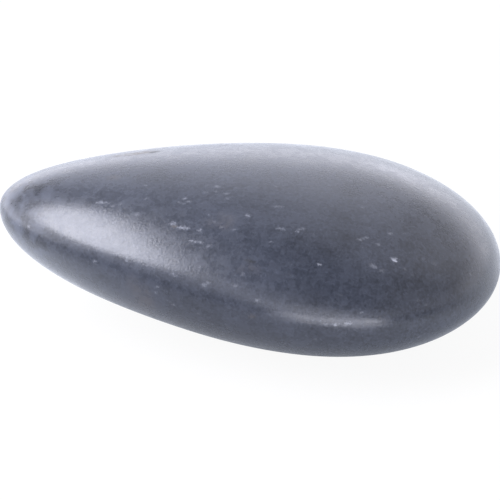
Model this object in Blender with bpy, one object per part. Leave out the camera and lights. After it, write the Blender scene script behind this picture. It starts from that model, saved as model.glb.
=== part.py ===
"""River pebble: one smooth, egg-shaped stone lying on its flattest side.

The frame: +X runs from the narrow nose to the blunt end, +Z is up, and the origin is under
the middle of the stone's box, on the surface it lies on.
"""
import math

import bmesh
import bpy
from mathutils import Vector

# Driving dimensions, in metres
LENGTH = 0.104
GIRTH_WIDTH = 0.0648
CROWN_HEIGHT = 0.0166
BELLY_DEPTH = 0.0170
NOSE_RISE = 0.0102
SIDEWAYS_BEND = -0.0025
# How much of the underside is worn away to a flat, and the rounding at the flat's edge
WORN_DEPTH = 0.0016
WORN_EDGE = 0.001

# How the width, the crown and the belly change along the stone, as shares of their size at
# mid-length. The first number of each pair is the gain at the blunt end and the loss at the
# nose, and the second is a gain at both ends.
WIDTH_TAPER = (0.36, 0.05)
CROWN_TAPER = (0.27, -0.06)
BELLY_TAPER = (0.12, 0.03)
# What all three lose towards the blunt end, and gain towards the nose, to round both off
END_ROUNDING = 0.09

# How much fuller than an ellipse the underside's shoulders are, as a share of the girth: at
# mid-length, and the gain at the blunt end
LOWER_SHOULDER = (0.02, -0.02)
# How far the section leans over, as a share of the girth
SECTION_LEAN = -0.01

# The mesh: edges along each side of the cube that the ball is made from
CUBE_EDGES = 24

STONE_COLOUR = (0.060, 0.064, 0.082, 1.0)
STONE_ROUGHNESS = 0.35


def clear_scene():
    for thing in list(bpy.data.objects):
        bpy.data.objects.remove(thing, do_unlink=True)


def smooth_step(x):
    """0 at 0 and 1 at 1, level at both."""
    return x * x * (3 - 2 * x)


def taper(pair, station):
    """A size's share of its value at mid-length; station is -1 at the nose, 1 at the blunt end."""
    return 1 + pair[0] * station + pair[1] * station ** 2 - END_ROUNDING * station ** 3


def stone_point(ball_point):
    """Where a point of the unit ball goes on the stone."""
    station, side, rise = ball_point
    girth = math.hypot(side, rise)
    if girth < 1e-9:
        side_share, rise_share = 0.0, 0.0
    else:
        side_share, rise_share = side / girth, rise / girth
    upper = smooth_step((1 + rise_share) / 2)
    fullness = (LOWER_SHOULDER[0] + LOWER_SHOULDER[1] * station) * (1 - upper)
    slant = 2 * side_share * rise_share
    section = 1 + fullness * slant ** 2 + SECTION_LEAN * slant
    half_width = GIRTH_WIDTH / 2 * taper(WIDTH_TAPER, station)
    crown = CROWN_HEIGHT * taper(CROWN_TAPER, station)
    belly = BELLY_DEPTH * taper(BELLY_TAPER, station)
    half_height = belly + (crown - belly) * upper
    x = LENGTH / 2 * station
    y = half_width * section * side + SIDEWAYS_BEND * (1 - station ** 2)
    z = half_height * section * rise + NOSE_RISE * (1 - station) / 2
    return Vector((x, y, z))


def unit_ball():
    """A ball of nearly even four-sided faces, blown up from a divided cube."""
    ball = bmesh.new()
    bmesh.ops.create_cube(ball, size=2)
    bmesh.ops.subdivide_edges(ball, edges=ball.edges[:], cuts=CUBE_EDGES - 1, use_grid_fill=True)
    for corner in ball.verts:
        spread = [math.tan(value * math.pi / 4) for value in corner.co]
        corner.co = Vector(spread).normalized()
    return ball


def wear_flat(stone):
    """Levels the underside at height zero, with a short rounded edge around the flat."""
    worn_level = min(corner.co.z for corner in stone.verts) + WORN_DEPTH
    for corner in stone.verts:
        over = corner.co.z - worn_level
        if over <= -WORN_EDGE:
            corner.co.z = 0.0
        elif over < WORN_EDGE:
            corner.co.z = (over + WORN_EDGE) ** 2 / (4 * WORN_EDGE)
        else:
            corner.co.z = over


def centre_over_origin(stone):
    """Moves the mesh sideways until the middle of its box stands over the origin."""
    for axis in (Vector((1, 0, 0)), Vector((0, 1, 0))):
        reach = [corner.co.dot(axis) for corner in stone.verts]
        middle = (min(reach) + max(reach)) / 2
        bmesh.ops.translate(stone, verts=stone.verts, vec=-middle * axis)


def stone_material():
    material = bpy.data.materials.new("dark_stone")
    material.use_nodes = True
    surface = material.node_tree.nodes["Principled BSDF"]
    surface.inputs["Base Color"].default_value = STONE_COLOUR
    surface.inputs["Roughness"].default_value = STONE_ROUGHNESS
    surface.inputs["Metallic"].default_value = 0.0
    return material


def make_pebble():
    stone = unit_ball()
    for corner in stone.verts:
        corner.co = stone_point(corner.co)
    wear_flat(stone)
    centre_over_origin(stone)
    bmesh.ops.recalc_face_normals(stone, faces=stone.faces[:])
    mesh = bpy.data.meshes.new("pebble")
    stone.to_mesh(mesh)
    stone.free()
    mesh.materials.append(stone_material())
    mesh.shade_smooth()
    pebble = bpy.data.objects.new("pebble", mesh)
    bpy.context.scene.collection.objects.link(pebble)
    return pebble


clear_scene()
make_pebble()
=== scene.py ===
"""The river pebble, dressed to match the photograph: a dark, blue-grey stone worn smooth by water.

The stone keeps the shape of its CAD solid, in a finer mesh with the slight unevenness of a
natural stone. Its grain, pale flecks, brown stains and small cracks are in its material.
"""
import math

import bmesh
import bpy
import numpy as np
from mathutils import Matrix, Vector, noise
from mathutils.bvhtree import BVHTree


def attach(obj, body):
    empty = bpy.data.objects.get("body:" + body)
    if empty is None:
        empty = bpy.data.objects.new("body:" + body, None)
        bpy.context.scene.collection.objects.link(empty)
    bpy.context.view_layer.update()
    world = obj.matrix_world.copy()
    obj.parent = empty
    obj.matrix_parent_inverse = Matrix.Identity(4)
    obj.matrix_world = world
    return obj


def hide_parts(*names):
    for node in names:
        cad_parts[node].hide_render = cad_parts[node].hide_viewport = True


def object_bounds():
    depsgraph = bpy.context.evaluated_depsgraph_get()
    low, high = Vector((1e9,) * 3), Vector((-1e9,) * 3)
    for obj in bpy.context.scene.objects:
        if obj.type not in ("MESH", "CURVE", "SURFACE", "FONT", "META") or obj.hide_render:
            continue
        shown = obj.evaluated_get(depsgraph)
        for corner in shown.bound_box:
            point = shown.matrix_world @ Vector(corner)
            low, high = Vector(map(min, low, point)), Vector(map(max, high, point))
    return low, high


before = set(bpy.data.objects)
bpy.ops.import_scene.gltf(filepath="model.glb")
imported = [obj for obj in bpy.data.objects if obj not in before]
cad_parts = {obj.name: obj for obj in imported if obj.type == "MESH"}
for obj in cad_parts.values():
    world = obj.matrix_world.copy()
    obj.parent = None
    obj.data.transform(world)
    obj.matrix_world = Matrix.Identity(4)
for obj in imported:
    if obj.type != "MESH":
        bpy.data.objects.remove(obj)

cad_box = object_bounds()
MM = 0.001

# The form of the stone, as in the CAD source
LENGTH = 0.104
GIRTH_WIDTH = 0.0648
CROWN_HEIGHT = 0.0166
BELLY_DEPTH = 0.0170
NOSE_RISE = 0.0102
SIDEWAYS_BEND = -0.0025
WORN_DEPTH = 0.0016
WORN_EDGE = 0.001
WIDTH_TAPER = (0.36, 0.05)
CROWN_TAPER = (0.27, -0.06)
BELLY_TAPER = (0.12, 0.03)
END_ROUNDING = 0.09
LOWER_SHOULDER = (0.02, -0.02)
SECTION_LEAN = -0.01

# The finer mesh: edges along each side of the cube that it is blown up from
CUBE_EDGES = 116
# Unevenness of a natural stone: size of the waves and how deep they go, in metres, and how far
# apart the two sets are read from the noise
WAVES = ((0.034, 0.00030), (0.011, 0.00005))
WAVE_SHIFT = Vector((3.1, 7.7, 1.9))
# The unevenness starts at the first height above the floor, and is full this much higher
EVEN_HEIGHT = 0.001
UNEVEN_RISE = 0.006

# The camera, as the photograph was taken
CAMERA_AZIMUTH = 4.23
CAMERA_ELEVATION = 27.0
CAMERA_DISTANCE = 0.55
CAMERA_TARGET = (0.00003, 0.0022, 0.01312)
SENSOR_WIDTH = 36
FOCAL_PIXELS = 2644.5
FRAME_PIXELS = 500
CLIP_START = 0.01

# Lamps: name, shape, azimuth (0 is the camera's side, negative is left) and elevation as seen
# from the stone, distance, width and height, roll, tilt from facing the stone (90 lies flat and
# shines up), and radiance. Angles are in degrees and lengths in metres.
LAMPS = (
    ("left_softbox", "ELLIPSE", -83.5, 47, 0.5, 0.63, 0.25, -23, 0, 13.2),
    ("slanting_strip", "RECTANGLE", -28, 21, 0.5, 0.42, 0.12, -50, 0, 1.0),
    ("front_card", "RECTANGLE", 13.5, -3.3, 0.11, 0.092, 0.014, 1, 0, 8.4),
    ("floor_card", "RECTANGLE", 14, -7.4, 0.085, 0.06, 0.035, 0, 90, 4.6),
)
# The point in the stone that the lamps are placed about
LAMP_CENTRE = Vector((0, 0, 0.012))
# The soft sky is a sum of round patches in three rings: the ring's elevation and the patches'
# spread in degrees, then each patch's azimuth and radiance
SKY = (
    (0, 26, ((-180, 1.8), (-150, 3.2), (-120, 2.7), (-90, 2.1), (-60, 0.4), (0, 2.5), (30, 1.2),
             (60, 0.4), (90, 0.9), (120, 1.4), (150, 2.4))),
    (22, 30, ((-180, 1.2), (-120, 1.2), (-90, 2.7), (-60, 0.5), (-30, 0.7), (0, 0.3), (60, 0.55),
              (90, 0.25), (120, 0.7), (150, 0.2))),
    (48, 34, ((-180, 0.62), (-90, 0.5), (90, 0.4), (135, 0.75))),
)
LIGHT_TINT = (0.97, 0.98, 1.09)
BACKDROP = 1.0

# The floor: half its side, and its height just under the stone, in metres
FLOOR_REACH = 4.0
FLOOR_LEVEL = -0.0001
FLOOR_ROUGHNESS = 0.9
FLOOR_SPECULAR = 0.1
# The floor that the stone reflects glows a little, like a lit studio sweep: FRONT_GLOW in front
# of the stone and BACK_GLOW behind it, changing over GLOW_REACH metres on each side of it
FLOOR_TONE = 0.31
FRONT_GLOW = 0.16
BACK_GLOW = 1.20
GLOW_REACH = 0.06
GLOW_TINT = (0.92, 0.98, 1.11, 1)
# In front of the stone, towards this azimuth, the floor carries painted shade: it fades between these
# two distances in metres, and this share of its tone and glow is left
DARK_AZIMUTH = -2
DARK_START = 0.052
DARK_END = 0.110
DARK_SHARE = 0.05
# Pools of light on the floor, under the nose and beside the blunt end: centre, radius and glow
POOLS = (((-0.062, -0.012, 0.0), 0.040, 1.0), ((0.085, -0.055, 0.0), 0.08, 0.6))
# The floor that the camera sees is nearly white, and shows the stone's shadow faintly
SEEN_GLOW = 0.93
SEEN_TONE = 0.045
WHITE = (1, 1, 1, 1)

# The stone's colours: its own from dark to light, then its flecks, stains and cracks
DARK = (0.020, 0.0225, 0.029, 1.0)
LIGHT = (0.053, 0.060, 0.079, 1.0)
PALE = (0.50, 0.516, 0.572, 1.0)
BROWN = (0.095, 0.080, 0.068, 1.0)
BLACK = (0.008, 0.009, 0.012, 1.0)
# Four noises run through the stone, each with a size in millimetres and a detail, and with its
# weight in the stone's colour and in its fine relief
NOISES = {"clouds": (15.0, 2.0), "patches": (3.2, 2.0), "mottle": (1.1, 1.0), "grain": (0.5, 1.0)}
COLOUR_WEIGHTS = {"clouds": 0.8, "patches": 0.55, "mottle": 0.45, "grain": 1.05}
RELIEF_WEIGHTS = {"mottle": 0.5, "grain": 1.0}
RELIEF_DEPTH_MM = 0.021
# Most of a noise lies between these two values
NOISE_LOW = 0.35
NOISE_HIGH = 0.65
# The nose has rubbed against other stones: where along the stone that is full and where it
# ends, in millimetres, and how far its patches change its colour
NOSE_WEAR = (-48.0, -34.0)
NOSE_BLOTCHES = (-0.45, 0.35)
# The blunt end is mottled more strongly: where that begins and where it is full, and how much
BLUNT_END = (12.0, 38.0)
BLUNT_CONTRAST = 1.6

# Flecks, stains and cracks are drawn out a little along the stone, and their outlines are bent
# by up to half of RAGGED_REACH, in millimetres, in waves of RAGGED_SCALE to the millimetre
DRAWN_OUT = (0.65, 1.0, 1.0)
RAGGED_SCALE = 2.4
RAGGED_DETAIL = 1.0
RAGGED_REACH = 1.1
# Flecks that are scattered: spacing and radius in millimetres, the share of the places that have
# one, and how bright they are. The small ones gather where the patches are high.
SMALL_FLECKS = (1.3, 0.30, 0.20, 0.14)
LARGE_FLECKS = (4.5, 0.42, 0.30, 0.155)
CROWDING = (0.45, 0.62)
# How the radius and the brightness vary, as shares of those, and how much of the radius is full
FLECK_SIZES = (0.45, 1.15)
FLECK_BRIGHTNESS = (0.35, 1.0)
FLECK_CORE = 0.6
# Rust shows where the clouds are high, and the mottle breaks up all stains
RUST = (0.66, 0.76)
RUST_STRENGTH = 0.25
STAIN_BREAKS = (0.35, 0.6)
STAIN_LEAST = 0.4

# Roughness from patch to patch, and what the mottle, stains, cracks and rubbed nose add to it
ROUGHNESS = (0.25, 0.30)
MOTTLE_ROUGHNESS = (-0.02, 0.02)
STAIN_ROUGHNESS = 0.2
CRACK_ROUGHNESS = 0.15
NOSE_ROUGHNESS = 0.03
STONE_IOR = 1.5

# Pale flecks where the photograph shows them: pixel column and row, radius in millimetres, and
# how bright they are
FLECKS = (
    (394, 260, 0.62, 0.85), (392, 258, 0.44, 0.42), (396, 258, 0.44, 0.42), (372, 265, 0.71, 0.18),
    (374, 266, 0.58, 0.18), (381, 270, 0.64, 0.14), (359, 239, 0.54, 0.25), (366, 237, 0.44, 0.19),
    (363, 238, 0.40, 0.14), (378, 244, 0.51, 0.16), (390, 233, 0.51, 0.23), (405, 269, 0.51, 0.14),
    (434, 263, 0.47, 0.15), (319, 264, 0.51, 0.29), (279, 228, 0.51, 0.19), (282, 229, 0.44, 0.19),
    (297, 231, 0.47, 0.21), (299, 229, 0.40, 0.19), (303, 228, 0.44, 0.21), (273, 206, 0.44, 0.12),
    (276, 206, 0.44, 0.14), (280, 206, 0.44, 0.14), (276, 186, 0.47, 0.16), (247, 215, 0.61, 0.28),
    (217, 186, 0.51, 0.19), (226, 193, 0.47, 0.14), (227, 198, 0.44, 0.12), (215, 191, 0.40, 0.12),
    (184, 198, 0.51, 0.16), (188, 201, 0.54, 0.19), (178, 202, 0.47, 0.16), (183, 203, 0.40, 0.12),
    (172, 223, 0.68, 0.30), (179, 227, 0.58, 0.32), (182, 227, 0.58, 0.37), (186, 228, 0.58, 0.30),
    (199, 230, 0.54, 0.30), (191, 240, 0.54, 0.28), (195, 241, 0.47, 0.21), (200, 242, 0.54, 0.25),
    (208, 245, 0.51, 0.15), (214, 221, 0.44, 0.14), (221, 227, 0.44, 0.14), (234, 229, 0.44, 0.14),
    (97, 202, 0.51, 0.21), (101, 202, 0.58, 0.23), (105, 202, 0.51, 0.19), (109, 203, 0.44, 0.16),
    (113, 205, 0.54, 0.12), (120, 204, 0.44, 0.12), (136, 214, 0.58, 0.16), (145, 185, 0.47, 0.14),
    (126, 259, 0.51, 0.18), (94, 261, 0.54, 0.20), (173, 274, 0.54, 0.15), (208, 282, 0.51, 0.15),
    (204, 285, 0.58, 0.19), (242, 274, 0.54, 0.14), (235, 285, 0.58, 0.15), (257, 300, 0.51, 0.17),
    (173, 304, 0.44, 0.20), (155, 292, 0.40, 0.23), (335, 324, 0.61, 0.30), (346, 323, 0.58, 0.30),
    (350, 323, 0.51, 0.30), (325, 324, 0.51, 0.15), (315, 339, 0.47, 0.11), (418, 300, 0.44, 0.11),
    (426, 304, 0.44, 0.11), (470, 274, 0.44, 0.14), (362, 207, 0.44, 0.14), (28, 226, 0.51, 0.19),
)
# Brown stains and small dark cracks, measured the same way
STAINS = (
    (120, 155, 2.2, 0.6), (128, 154, 2.2, 0.8), (136, 153, 2.2, 0.9), (144, 152, 2.2, 0.9),
    (174, 226, 0.7, 0.5),
    (113, 177, 1.6, 0.3),
    (252, 316, 0.8, 0.4),
)
CRACKS = (
    (247, 259, 0.50, 0.9), (250, 261, 0.55, 1.0), (253, 262, 0.45, 0.9),
    (152, 152, 1.0, 0.8), (156, 151, 1.0, 0.8),
)
# The share of a crack's radius that is full
CRACK_CORE = 0.1


def smooth_step(x):
    """0 at 0 and 1 at 1, level at both."""
    return x * x * (3 - 2 * x)


def taper(pair, station):
    """A size's share of its value at mid-length; station is -1 at the nose, 1 at the blunt end."""
    return 1 + pair[0] * station + pair[1] * station ** 2 - END_ROUNDING * station ** 3


def stone_points(ball):
    """Where points of the unit ball go on the stone."""
    station, side, rise = ball.T
    girth = np.maximum(np.hypot(side, rise), 1e-9)
    side_share, rise_share = side / girth, rise / girth
    upper = smooth_step((1 + rise_share) / 2)
    fullness = (LOWER_SHOULDER[0] + LOWER_SHOULDER[1] * station) * (1 - upper)
    slant = 2 * side_share * rise_share
    section = 1 + fullness * slant ** 2 + SECTION_LEAN * slant
    half_width = GIRTH_WIDTH / 2 * taper(WIDTH_TAPER, station)
    crown = CROWN_HEIGHT * taper(CROWN_TAPER, station)
    belly = BELLY_DEPTH * taper(BELLY_TAPER, station)
    half_height = belly + (crown - belly) * upper
    x = LENGTH / 2 * station
    y = half_width * section * side + SIDEWAYS_BEND * (1 - station ** 2)
    z = half_height * section * rise + NOSE_RISE * (1 - station) / 2
    return np.stack((x, y, z), axis=1)


def wear_flat(points):
    """Levels the underside at height zero, with a short rounded edge around the flat."""
    over = points[:, 2] - points[:, 2].min() - WORN_DEPTH
    edge = (over + WORN_EDGE) ** 2 / (4 * WORN_EDGE)
    points[:, 2] = np.where(over <= -WORN_EDGE, 0.0, np.where(over < WORN_EDGE, edge, over))


def unevenness(points):
    """How far each point is worn inward."""
    depth = np.zeros(len(points))
    for number, (size, deep) in enumerate(WAVES):
        shift = WAVE_SHIFT * (number + 1)
        waves = [noise.noise(Vector(point) / size + shift) for point in points]
        depth += deep * (1 + np.array(waves)) / 2
    return depth


def place_corners(ball, points):
    for corner, point in zip(ball.verts, points):
        corner.co = Vector(point)


def make_stone():
    ball = bmesh.new()
    bmesh.ops.create_cube(ball, size=2)
    bmesh.ops.subdivide_edges(ball, edges=ball.edges[:], cuts=CUBE_EDGES - 1, use_grid_fill=True)
    directions = np.array([corner.co for corner in ball.verts])
    directions = np.tan(directions * math.pi / 4)
    directions /= np.linalg.norm(directions, axis=1)[:, None]
    points = stone_points(directions)
    wear_flat(points)
    for axis in (0, 1):
        points[:, axis] -= (points[:, axis].min() + points[:, axis].max()) / 2
    place_corners(ball, points)
    bmesh.ops.recalc_face_normals(ball, faces=ball.faces[:])
    ball.normal_update()
    normals = np.array([corner.normal for corner in ball.verts])
    # The worn flat and its edge stay as they are, so the stone still stands on them
    share = smooth_step(np.clip((points[:, 2] - EVEN_HEIGHT) / UNEVEN_RISE, 0, 1))
    points -= normals * (unevenness(points) * share)[:, None]
    # The wear takes a little off all round, so the stone is drawn out to its CAD box again
    for axis in range(3):
        low, high = cad_box[0][axis], cad_box[1][axis]
        reach = points[:, axis].min(), points[:, axis].max()
        points[:, axis] = low + (points[:, axis] - reach[0]) * (high - low) / (reach[1] - reach[0])
    place_corners(ball, points)
    mesh = bpy.data.meshes.new("river_stone")
    ball.to_mesh(mesh)
    ball.free()
    mesh.shade_smooth()
    stone = bpy.data.objects.new("river_stone", mesh)
    bpy.context.scene.collection.objects.link(stone)
    return stone


def camera_axes():
    """Level direction from the stone to the camera, the camera's right, and the way back to it."""
    azimuth = math.radians(CAMERA_AZIMUTH)
    elevation = math.radians(CAMERA_ELEVATION)
    near = Vector((math.sin(azimuth), -math.cos(azimuth), 0))
    right = Vector((math.cos(azimuth), math.sin(azimuth), 0))
    back = near * math.cos(elevation) + Vector((0, 0, math.sin(elevation)))
    return near, right, back


NEAR, RIGHT, BACK = camera_axes()
UP = BACK.cross(RIGHT)
EYE = Vector(CAMERA_TARGET) + BACK * CAMERA_DISTANCE


def seen_at(shell, column, row):
    """The point of the stone's shell that the camera sees at a pixel, or None beside the stone."""
    across = (column + 0.5 - FRAME_PIXELS / 2) / FOCAL_PIXELS
    rise = (FRAME_PIXELS / 2 - row - 0.5) / FOCAL_PIXELS
    ray = -BACK + RIGHT * across + UP * rise
    return shell.ray_cast(EYE, ray.normalized())[0]


def toward(azimuth, elevation):
    """A direction seen from the stone; azimuth 0 is the camera's side and 90 is its right."""
    azimuth = math.radians(azimuth)
    elevation = math.radians(elevation)
    level = NEAR * math.cos(azimuth) + RIGHT * math.sin(azimuth)
    return level * math.cos(elevation) + Vector((0, 0, math.sin(elevation)))


class Graph:
    """Short ways to add nodes to a material or to the sky."""

    def __init__(self, tree):
        self.tree = tree

    def node(self, kind, links=(), **settings):
        made = self.tree.nodes.new(kind)
        for key, value in settings.items():
            setattr(made, key, value)
        for socket, value in links:
            self.join(value, made.inputs[socket])
        return made

    def join(self, value, socket):
        if isinstance(value, bpy.types.NodeSocket):
            self.tree.links.new(value, socket)
        else:
            socket.default_value = value

    def math(self, operation, *values):
        return self.node("ShaderNodeMath", enumerate(values), operation=operation).outputs[0]

    def vector(self, operation, *values):
        """A number for a distance or a dot product, and a vector for the rest."""
        made = self.node("ShaderNodeVectorMath", enumerate(values), operation=operation)
        return made.outputs["Value" if operation in ("DISTANCE", "DOT_PRODUCT") else "Vector"]

    def ramp(self, value, low, high, to_low=0.0, to_high=1.0):
        """Smoothly from to_low to to_high while value goes from low to high."""
        values = (value, low, high, to_low, to_high)
        made = self.node("ShaderNodeMapRange", enumerate(values), interpolation_type="SMOOTHSTEP")
        return made.outputs[0]

    def noise(self, place, size, detail):
        """Noise from 0 to 1 whose waves have that size in millimetres."""
        links = (("Vector", place), ("Scale", 1.0 / size), ("Detail", detail))
        return self.node("ShaderNodeTexNoise", links).outputs[0]

    def sway(self, noises, weights):
        """A value about 0.5 that follows several noises, each with its weight."""
        total = 0.5 - 0.5 * sum(weights.values())
        for name, weight in weights.items():
            total = self.math("MULTIPLY_ADD", noises[name], weight, total)
        return total

    def mix(self, share, first, second):
        """A colour between two."""
        made = self.node("ShaderNodeMix", ((0, share), (6, first), (7, second)), data_type="RGBA")
        return made.outputs[2]

    def sprinkle(self, place, spacing, radius, chance, brightness):
        """Small flecks, one in some of the cells of a loose grid."""
        cells = self.node("ShaderNodeTexVoronoi", (("Vector", place), ("Scale", 1.0 / spacing)))
        draw = self.node("ShaderNodeSeparateColor", ((0, cells.outputs["Color"]),))
        chosen = self.math("LESS_THAN", draw.outputs[0], chance)
        least, most = FLECK_SIZES
        size = self.math("MULTIPLY_ADD", draw.outputs[1], most - least, least)
        reach = self.math("DIVIDE", cells.outputs["Distance"], size)
        spot = self.ramp(reach, radius / spacing * FLECK_CORE, radius / spacing, 1.0, 0.0)
        share = self.ramp(draw.outputs[2], 0.0, 1.0, *FLECK_BRIGHTNESS)
        strength = self.math("MULTIPLY", self.math("MULTIPLY", spot, chosen), share)
        return self.math("MULTIPLY", strength, brightness)

    def marks(self, place, shell, spots, core=0.0):
        """The strongest of some listed marks, full over a core share of their radius."""
        strongest = 0.0
        for column, row, radius, strength in spots:
            found = seen_at(shell, column, row)
            if found is None:
                continue
            away = self.vector("DISTANCE", place, found * Vector(DRAWN_OUT) / MM)
            spot = self.ramp(away, radius * core, radius, strength, 0.0)
            strongest = self.math("MAXIMUM", strongest, spot)
        return strongest


def new_material(name):
    """A material, the graph of its nodes, and its shader's sockets."""
    material = bpy.data.materials.new(name)
    material.use_nodes = True
    tree = material.node_tree
    return material, Graph(tree), tree.nodes["Principled BSDF"].inputs


def stone_colour(graph, noises, along, rubbed):
    """The stone's own colour, blotchy on the rubbed nose and more mottled at the blunt end."""
    tone = graph.sway(noises, COLOUR_WEIGHTS)
    blotches = graph.ramp(noises["patches"], NOISE_LOW, NOISE_HIGH, *NOSE_BLOTCHES)
    tone = graph.math("MULTIPLY_ADD", rubbed, blotches, tone)
    contrast = graph.ramp(along, *BLUNT_END, 1.0, BLUNT_CONTRAST)
    tone = graph.math("MULTIPLY_ADD", graph.math("SUBTRACT", tone, 0.5), contrast, 0.5)
    return graph.mix(tone, DARK, LIGHT)


def ragged_place(graph, place):
    """Places for the flecks, stains and cracks, bent so that their outlines are ragged."""
    links = (("Vector", place), ("Scale", RAGGED_SCALE), ("Detail", RAGGED_DETAIL))
    bend = graph.node("ShaderNodeTexNoise", links).outputs["Color"]
    stretched = graph.vector("MULTIPLY", place, DRAWN_OUT)
    bent = graph.vector("MULTIPLY_ADD", bend, [RAGGED_REACH] * 3, stretched)
    return graph.vector("SUBTRACT", bent, [RAGGED_REACH / 2] * 3)


def stone_flecks(graph, noises, bent, shell):
    """Where the pale flecks are: two scattered sizes, and those that the photograph shows."""
    small = graph.sprinkle(bent, *SMALL_FLECKS)
    small = graph.math("MULTIPLY", small, graph.ramp(noises["patches"], *CROWDING))
    flecks = graph.math("MAXIMUM", small, graph.sprinkle(bent, *LARGE_FLECKS))
    return graph.math("MAXIMUM", flecks, graph.marks(bent, shell, FLECKS))


def stone_stains(graph, noises, bent, shell):
    """Where the stone is brown: stains that the photograph shows, and faint rust elsewhere."""
    rust = graph.ramp(noises["clouds"], *RUST, 0.0, RUST_STRENGTH)
    stains = graph.math("MAXIMUM", graph.marks(bent, shell, STAINS), rust)
    breaks = graph.ramp(noises["mottle"], *STAIN_BREAKS, STAIN_LEAST, 1.0)
    return graph.math("MULTIPLY", stains, breaks)


def stone_roughness(graph, noises, additions):
    """The roughness of the stone, with what each place and its weight add to it."""
    rough = graph.ramp(noises["patches"], NOISE_LOW, NOISE_HIGH, *ROUGHNESS)
    mottled = graph.ramp(noises["mottle"], NOISE_LOW, NOISE_HIGH, *MOTTLE_ROUGHNESS)
    rough = graph.math("ADD", rough, mottled)
    for where, added in additions:
        rough = graph.math("MULTIPLY_ADD", where, added, rough)
    return rough


def stone_material(shell):
    """Mottled dark stone; the shell is its surface, to find the photograph's marks on."""
    material, graph, surface = new_material("water_worn_stone")
    coordinates = graph.node("ShaderNodeTexCoord").outputs["Object"]
    place = graph.vector("MULTIPLY", coordinates, [1 / MM] * 3)
    noises = {name: graph.noise(place, *size_and_detail) for name, size_and_detail in NOISES.items()}
    along = graph.node("ShaderNodeSeparateXYZ", ((0, place),)).outputs["X"]
    rubbed = graph.ramp(along, *NOSE_WEAR, 1.0, 0.0)
    bent = ragged_place(graph, place)
    stains = stone_stains(graph, noises, bent, shell)
    cracks = graph.marks(bent, shell, CRACKS, CRACK_CORE)

    colour = stone_colour(graph, noises, along, rubbed)
    colour = graph.mix(stone_flecks(graph, noises, bent, shell), colour, PALE)
    colour = graph.mix(stains, colour, BROWN)
    graph.join(graph.mix(cracks, colour, BLACK), surface["Base Color"])

    additions = ((stains, STAIN_ROUGHNESS), (cracks, CRACK_ROUGHNESS), (rubbed, NOSE_ROUGHNESS))
    graph.join(stone_roughness(graph, noises, additions), surface["Roughness"])
    surface["IOR"].default_value = STONE_IOR

    height = graph.sway(noises, RELIEF_WEIGHTS)
    links = (("Height", height), ("Strength", 1.0), ("Distance", RELIEF_DEPTH_MM * MM))
    graph.join(graph.node("ShaderNodeBump", links).outputs[0], surface["Normal"])
    return material


def floor_material():
    """Plain and pale; the stone sees it lit like a studio, and the camera sees it nearly white."""
    material, graph, surface = new_material("pale_floor")
    place = graph.node("ShaderNodeTexCoord").outputs["Object"]
    behind = graph.vector("DOT_PRODUCT", place, -NEAR)
    glow = graph.ramp(behind, -GLOW_REACH, GLOW_REACH, FRONT_GLOW, BACK_GLOW)
    # Painted shade on the floor: its tone and glow fall off far out in front of the stone
    away = graph.vector("DOT_PRODUCT", place, toward(DARK_AZIMUTH, 0))
    lit = graph.ramp(away, DARK_START, DARK_END, 1.0, DARK_SHARE)
    glow = graph.math("MULTIPLY", glow, lit)
    for centre, radius, strength in POOLS:
        far = graph.vector("DISTANCE", place, centre)
        glow = graph.math("ADD", glow, graph.ramp(far, 0.0, radius, strength, 0.0))
    seen = graph.node("ShaderNodeLightPath").outputs["Is Camera Ray"]
    tone = graph.mix(seen, graph.math("MULTIPLY", lit, FLOOR_TONE), (SEEN_TONE, SEEN_TONE, SEEN_TONE, 1))
    graph.join(tone, surface["Base Color"])
    graph.join(graph.mix(seen, GLOW_TINT, WHITE), surface["Emission Color"])
    graph.join(graph.ramp(seen, 0.0, 1.0, glow, SEEN_GLOW), surface["Emission Strength"])
    surface["Roughness"].default_value = FLOOR_ROUGHNESS
    surface["Specular IOR Level"].default_value = FLOOR_SPECULAR
    return material


def make_floor():
    sides = ((-1, -1), (1, -1), (1, 1), (-1, 1))
    corners = [(FLOOR_REACH * x, FLOOR_REACH * y, FLOOR_LEVEL) for x, y in sides]
    mesh = bpy.data.meshes.new("floor")
    mesh.from_pydata(corners, [], [(0, 1, 2, 3)])
    mesh.materials.append(floor_material())
    floor = bpy.data.objects.new("floor", mesh)
    bpy.context.scene.collection.objects.link(floor)


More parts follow.
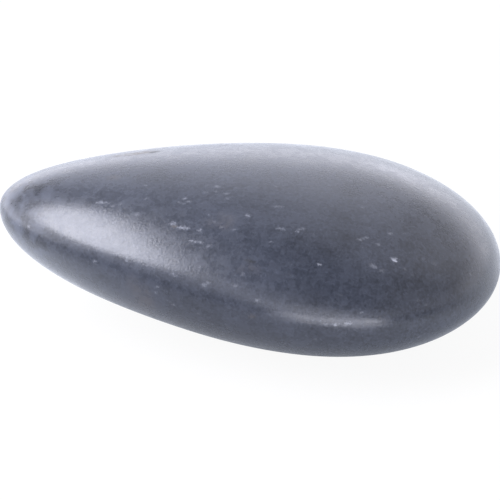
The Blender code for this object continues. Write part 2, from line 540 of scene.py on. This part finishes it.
def make_lamp(name, shape, azimuth, elevation, distance, width, height, roll, tilt, radiance):
    light = bpy.data.lights.new(name, "AREA")
    light.shape = shape
    light.size = width
    light.size_y = height
    area = width * height * (math.pi / 4 if shape == "ELLIPSE" else 1)
    light.energy = radiance * math.pi * area
    light.color = LIGHT_TINT
    lamp = bpy.data.objects.new(name, light)
    bpy.context.scene.collection.objects.link(lamp)
    back = toward(azimuth, elevation)
    across = Vector((0, 0, 1)).cross(back).normalized()
    turn = Matrix((across, back.cross(across), back)).transposed().to_4x4()
    turn = turn @ Matrix.Rotation(math.radians(tilt), 4, "X")
    turn = turn @ Matrix.Rotation(math.radians(roll), 4, "Z")
    turn.translation = LAMP_CENTRE + back * distance
    lamp.matrix_world = turn
    lamp.visible_camera = False


def make_sky():
    """A soft studio sky, and a plain pale backdrop behind it for the camera."""
    world = bpy.data.worlds.new("studio")
    bpy.context.scene.world = world
    world.use_nodes = True
    graph = Graph(world.node_tree)
    place = graph.node("ShaderNodeTexCoord").outputs["Generated"]
    total = 0.0
    for elevation, spread, patches in SKY:
        for azimuth, radiance in patches:
            facing = graph.vector("DOT_PRODUCT", place, toward(azimuth, elevation))
            patch = graph.ramp(facing, math.cos(math.radians(spread)), 1.0, 0.0, radiance)
            total = graph.math("ADD", patch, total)
    sky = world.node_tree.nodes["Background"]
    graph.join((*LIGHT_TINT, 1), sky.inputs["Color"])
    graph.join(total, sky.inputs["Strength"])
    backdrop = graph.node("ShaderNodeBackground", (("Color", WHITE), ("Strength", BACKDROP)))
    eye_ray = graph.node("ShaderNodeLightPath").outputs["Is Camera Ray"]
    parts = (eye_ray, sky.outputs[0], backdrop.outputs[0])
    choice = graph.node("ShaderNodeMixShader", enumerate(parts))
    graph.join(choice.outputs[0], world.node_tree.nodes["World Output"].inputs["Surface"])


def make_camera():
    camera = bpy.data.cameras.new("camera")
    camera.sensor_width = SENSOR_WIDTH
    camera.lens = FOCAL_PIXELS * SENSOR_WIDTH / FRAME_PIXELS
    camera.clip_start = CLIP_START
    holder = bpy.data.objects.new("camera", camera)
    bpy.context.scene.collection.objects.link(holder)
    turn = Matrix((RIGHT, UP, BACK)).transposed().to_4x4()
    turn.translation = EYE
    holder.matrix_world = turn
    bpy.context.scene.camera = holder


stone = make_stone()
stone_shell = BVHTree.FromPolygons([corner.co for corner in stone.data.vertices],
                                   [tuple(face.vertices) for face in stone.data.polygons])
stone.data.materials.append(stone_material(stone_shell))
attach(stone, "root")
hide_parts("pebble")

make_floor()
for row in LAMPS:
    make_lamp(*row)
make_sky()
make_camera()
bpy.context.scene.view_settings.view_transform = "Standard"
